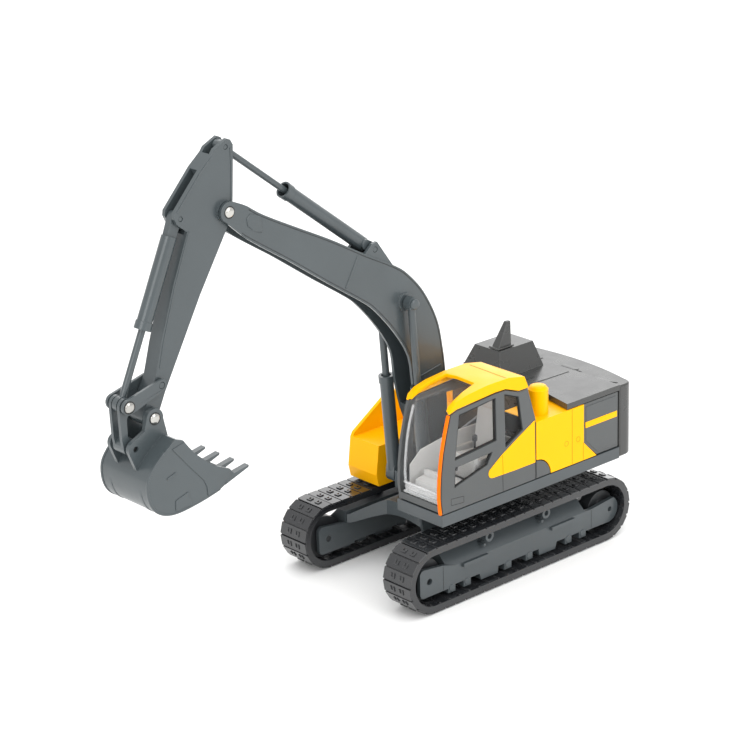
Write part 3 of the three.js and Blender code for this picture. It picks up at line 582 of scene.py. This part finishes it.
def arm_lips(bm, side):
    lo, hi = across(side, 2.4, 2.68)
    for line in (ARM_EDGE, ARM_REAR[::-1], ARM_BACK[::-1]):
        ribbon(bm, line, 0.45, lo, hi)


both_sides(arm_lips, "arm_lip", PAINT, "arm_assembly", 0.08)


# ---------- bucket ----------
def bucket_plates(bm, side):
    lo, hi = across(side, 9.9, 10.26)
    lip = [(90.9, 54.9), (96.2, 57.5), (101.5, 62.2), (105, 66.4), (108.9, 65.5),
           (103.6, 59.1), (99.3, 54.2), (98.5, 52.2), (98.2, 49.6), (94.4, 50.5), (90.6, 52.9)]
    side_plate(bm, lip, lo, hi)
    side_plate(bm, [(108.9, 48.6), (108.7, 51.3), (104.6, 52.6), (103.6, 48.8)], lo, hi)
    ribbon(bm, [(108.2, 59.1), (111.1, 58.1)], 0.55, lo, hi)


def bucket_rims(bm, side):
    line = spline([(111.2, 65.4), (115, 62), (117.1, 58.6), (117.1, 54), (115.4, 50.4), (112.2, 48.3),
                   (107.5, 47.7), (100, 48.7), (94, 50.1)], 4)
    ribbon(bm, offset(line, -0.16), 0.6, *across(side, 9.3, 10.12))


def bucket_back_strips(bm, side):
    lo, hi = across(side, 5.6, 7.2)
    line = spline([(117.0, 58.4), (117.1, 54.2), (115.5, 50.5), (112.3, 48.4), (107.6, 47.8)], 4)
    ribbon(bm, offset(line, -0.12), 0.4, lo, hi)


both_sides(bucket_plates, "bucket_cheek_plate", PAINT, "bucket_assembly", 0.08)
both_sides(bucket_rims, "bucket_rim", PAINT, "bucket_assembly", 0.12)
both_sides(bucket_back_strips, "bucket_wear_strip", PAINT, "bucket_assembly", 0.08)


# ---------- track frames ----------
def roller_ends(bm, side):
    lo, hi = across(side, 25.1, 25.55)
    for x in (-26.4, -20.4, -4.3, 4.3, 20.4, 26.4):
        disc(bm, (x, 4.5), 1.05, lo, hi)
    for x in (-9.9, 13.2):
        disc(bm, (x, 13.3), 0.5, *across(side, 22, 25.2), 12)


def cheek_seams(bm, side):
    lo, hi = across(side, 25.2, 25.32)
    for x, top in ((29.5, 12.0), (-30.2, 10.7)):
        ribbon(bm, [(x, 4.9), (x, top)], 0.16, lo, hi)


both_sides(roller_ends, "track_rollers", FRAME_PAINT, "undercarriage", 0.12)
both_sides(cheek_seams, "track_frame_seams", GAP, "undercarriage")


# ---------- cab ----------
def swoosh():
    bm = bmesh.new()
    points = [(7.9, 39.5), (1.2, 43.0), (-5.2, 46.2), (-5.3, 33.4), (3, 33.4), (11, 33.6)]
    points += arc((11.6, 35.2), 1.55, -80, 62, 8)
    side_plate(bm, points, 26.7, 27.06)
    piece("cab_swoosh", bm, YELLOW, "upper", 0.12)
    bm = bmesh.new()
    # The seam strip is in the painted shade yellow.
    ribbon(bm, [(7.5, 33.5), (7.7, 39.4)], 0.12, 27, 27.08)
    piece("cab_swoosh_seam", bm, YELLOW_SHADE, "upper")


WINDOWS = {
    "door": [(23.9, 55.7), (10.1, 56.9), (9.9, 44.4), (25.7, 43.1)],
    "door_low": [(25.7, 40.7), (11.6, 41.3), (13.5, 38.1), (26.0, 35.1)],
    "quarter": [(6.5, 57.0), (1.1, 54.9), (-0.4, 44.7), (6.2, 41.4)],
}


def window_seals():
    bm = bmesh.new()
    for window in WINDOWS.values():
        centre = [sum(p[c] for p in window) / 4 for c in (0, 1)]
        inner = [tuple(c + (v - c) * 0.955 for v, c in zip(p, centre)) for p in window]
        for i in range(4):
            j = (i + 1) % 4
            side_plate(bm, [window[i], window[j], inner[j], inner[i]], CAB_PANE, CAB_PANE + 0.65)
    piece("cab_window_seals", bm, GAP, "upper")


def cab_seams():
    bm = bmesh.new()
    proud = HOUSE_SIDE + SEAM_HEIGHT
    ribbon(bm, [(7.4, 28.4), (7.5, 33.3)], 0.16, HOUSE_SIDE, proud)
    ribbon(bm, [(-5.45, 28.4), (-5.45, 46.2)], 0.14, HOUSE_SIDE, proud)
    step_plate = [(27.5, 32.0), (22.8, 31.5), (22.8, 29.8), (27.5, 30.2), (27.5, 32.0)]
    for a, b in zip(step_plate, step_plate[1:]):
        ribbon(bm, [a, b], 0.13, HOUSE_SIDE, HOUSE_SIDE + 0.12)
    piece("cab_door_gaps", bm, GAP, "upper")


def cab_tub():
    """The light inner moulding on the right-hand side and behind the seat."""
    bm = bmesh.new()
    wall = [(28.4, 31.4), (28.2, 38), (24, 41.4), (12, 43.2), (-2.6, 43.2), (-2.6, 31.4)]
    side_plate(bm, wall, 10.9, 11.2)
    block(bm, -3.3, -2.9, 11.2, 24.8, 31.4, 39.6)
    side_plate(bm, [(16, 31.4), (28, 31.4), (27.4, 34), (22, 34.6), (17, 33)], 12.5, 24.6)
    piece("cab_tub", bm, INSIDE, "upper", 0.12)


def controls():
    """Two levers on the arm rests and a small screen beside the front window."""
    bm = bmesh.new()
    lever = [(0, 42), (0.35, 42), (0.35, 44.4), (0.75, 44.8), (0.75, 46.2), (0, 46.7)]
    for y in (11.6, 23.2):
        upright(bm, (14.7, y), lever, 14)
    block(bm, 22.6, 23.2, 22, 24.6, 38.5, 42)
    piece("cab_controls", bm, WHEEL, "upper", 0.08)


def screen_bead():
    """The thick rounded border of the clear front moulding, with its ledge at the bottom, in the whiter
    clear finish that paints its highlights.
    """
    bm = bmesh.new()
    front = spline([(30.3, 33.2), (30.5, 38), (29.5, 46), (28, 52), (26.7, 55.6)], 4)
    for y in (11.0, 25.2):
        side_plate(bm, front + offset(front, -0.5)[::-1], y, y + 0.7)
    for low, high in ((30.7, 31.3), (33.5, 34.0)):
        block(bm, 30.0, 30.75, 11.0, 25.9, low, high)
    block(bm, 29.9, 30.4, 11.4, 25.6, 31.2, 33.6)
    piece("cab_screen_bead", bm, CLEAR_HIGHLIGHT, "upper", 0.16)


def roof_crease():
    bm = bmesh.new()
    # The crease is a strip in the painted shade yellow, for the shade along it.
    floor_plate(bm, [(4.5, 11.2), (4.75, 11.2), (5.35, 26.2), (5.1, 26.2)], 61.3, 61.43)
    piece("cab_roof_crease", bm, YELLOW_SHADE, "upper")


swoosh()
window_seals()
cab_seams()
cab_tub()
controls()
screen_bead()
roof_crease()


# ---------- housings ----------
def door_panel(bm, side):
    top = 44.3 if side > 0 else 40.6
    points = [(-26.5, top), (-39.2, top), (-39.2, 29.3), (-31.1, 29.3), (-26.5, 33.8)]
    side_plate(bm, points, *across(side, 26.4, 26.66))


def door_stripe(bm, side):
    side_plate(bm, [(-26.2, 37.8), (-39.4, 37.8), (-39.4, 39.6), (-26.2, 39.6)], *across(side, 26.5, 26.78))


both_sides(door_panel, "side_door_panel", GREY, "upper", 0.1)
both_sides(door_stripe, "side_door_stripe", YELLOW, "upper", 0.08)


def housing_seams():
    bm = bmesh.new()
    proud = HOUSE_SIDE + SEAM_HEIGHT
    # The seam lines and the rings round the mould marks are in the painted shade yellow.
    ribbon(bm, [(-20.5, 28.5), (-20.5, 45.2)], 0.13, HOUSE_SIDE, proud)
    ribbon(bm, [(-25.1, 28.5), (-25.1, 33.8)], 0.12, HOUSE_SIDE, proud)
    for x in (-18.1, -22.9):
        ring(bm, (x, 35.4), 0.72, 0.82, HOUSE_SIDE, HOUSE_SIDE + 0.12, 20)
    piece("housing_seams", bm, YELLOW_SHADE, "upper")
    bm = bmesh.new()
    block(bm, -5.9, -5.6, 14.2, 26.7, 28.4, 45.2)
    piece("housing_gap", bm, GAP, "upper")


def cleaner_cap():
    bm = bmesh.new()
    upright(bm, (-11.6, 22), [(0, 53.2), (2.2, 53.2), (2.2, 53.62), (1.7, 53.85), (0, 53.95)])
    piece("air_cleaner_cap", bm, YELLOW, "upper", 0.1)


def hood_ridges():
    bm = bmesh.new()
    floor_plate(bm, [(-24.3, 7.9), (-38.2, 8.3), (-38.2, 8.7), (-24.3, 8.3)], 47.3, 47.55)
    floor_plate(bm, [(-41.3, 15.7), (-42.3, 24.4), (-39.6, 19.7)], 46.6, 47.0)
    floor_plate(bm, [(-41.4, 2.2), (-43.2, 2.4), (-43, 8.2), (-41.4, 7.6)], 46.6, 46.95)
    side_plate(bm, [(-27.9, 55.2), (-21.3, 55.2), (-21.6, 55.7), (-27.6, 55.7)], -7.9, -3.6)
    piece("hood_ridges", bm, HOOD, "upper", 0.1, 1)


def hood_slots():
    bm = bmesh.new()
    block(bm, -27.8, -24.6, 4.3, 4.6, 47.3, 47.44)
    block(bm, -42.6, -41.6, -6.7, -6.2, 46.7, 46.86)
    block(bm, -42.0, -41.5, 8.3, 10.2, 46.7, 46.86)
    piece("hood_slots", bm, GAP, "upper")


def louvres():
    """Two rows of flat ribs on the tail of the counterweight."""
    bm = bmesh.new()
    for k in range(6):
        z = 30 + 2.1 * k
        for side in (1, -1):
            start, end = 180 + side * 5.2, 180 + side * 11.2
            tail = arc(TAIL_CENTRE, TAIL_RADIUS, start, end, 6)
            inner = arc(TAIL_CENTRE, TAIL_RADIUS - 0.35, start, end, 6)
            floor_plate(bm, tail + inner[::-1], z, z + 0.7)
    piece("counterweight_louvres", bm, HOOD, "upper", 0.08, 1)


housing_seams()
cleaner_cap()
hood_ridges()
hood_slots()
louvres()


# ---------- studio ----------
CAMERA_PLACE = (462.0, 487.4, 300.2)
CAMERA_AZIMUTH = 48.47
CAMERA_ELEVATION = 20.068
CAMERA_ROLL = -1.672


def plain(name, colour, roughness):
    made = bpy.data.materials.new(name)
    made.use_nodes = True
    shader = made.node_tree.nodes["Principled BSDF"]
    shader.inputs["Base Color"].default_value = (*colour, 1)
    shader.inputs["Roughness"].default_value = roughness
    shader.inputs["Specular IOR Level"].default_value = 0.2
    return made


def floor():
    data = bpy.data.meshes.new("floor")
    half = 6
    corners = [(-half, -half, 0), (half, -half, 0), (half, half, 0), (-half, half, 0)]
    data.from_pydata(corners, [], [(0, 1, 2, 3)])
    made = bpy.data.objects.new("floor", data)
    data.materials.append(plain("floor", (0.85, 0.85, 0.845), 0.7))
    bpy.context.scene.collection.objects.link(made)
    made.location.z = -0.00002


def softbox(name, place, size, power):
    data = bpy.data.lights.new(name, "AREA")
    data.energy = power
    data.size = size
    made = bpy.data.objects.new(name, data)
    made.location = place
    aim = Vector((0, 0, 0.05)) - Vector(place)
    made.rotation_euler = aim.to_track_quat("-Z", "Y").to_euler()
    bpy.context.scene.collection.objects.link(made)


def camera():
    """The camera, turned to look down along its azimuth and elevation and then rolled a little."""
    data = bpy.data.cameras.new("camera")
    data.lens = 120
    data.sensor_width = 36
    data.clip_start = 0.01
    made = bpy.data.objects.new("camera", data)
    turn = Matrix.Rotation(math.radians(CAMERA_AZIMUTH + 90), 4, "Z")
    tilt = Matrix.Rotation(math.radians(90 - CAMERA_ELEVATION), 4, "X")
    roll = Matrix.Rotation(math.radians(CAMERA_ROLL), 4, "Z")
    made.matrix_world = Matrix.Translation(at(*CAMERA_PLACE)) @ turn @ tilt @ roll
    bpy.context.scene.collection.objects.link(made)
    bpy.context.scene.camera = made


floor()
camera()
softbox("top", (0.1, 0.3, 1.6), 2.0, 20)
softbox("backdrop", (-1.5, -1.7, 0.85), 2.2, 18)
softbox("front_left", (1.3, 0.6, 0.7), 0.8, 6)
softbox("side", (-0.2, 1.4, 0.6), 0.8, 6)
world = bpy.data.worlds.new("studio")
world.use_nodes = True
world.node_tree.nodes["Background"].inputs["Color"].default_value = (1, 1, 1, 1)
world.node_tree.nodes["Background"].inputs["Strength"].default_value = 1.0
bpy.context.scene.world = world
bpy.context.scene.view_settings.view_transform = "Standard"
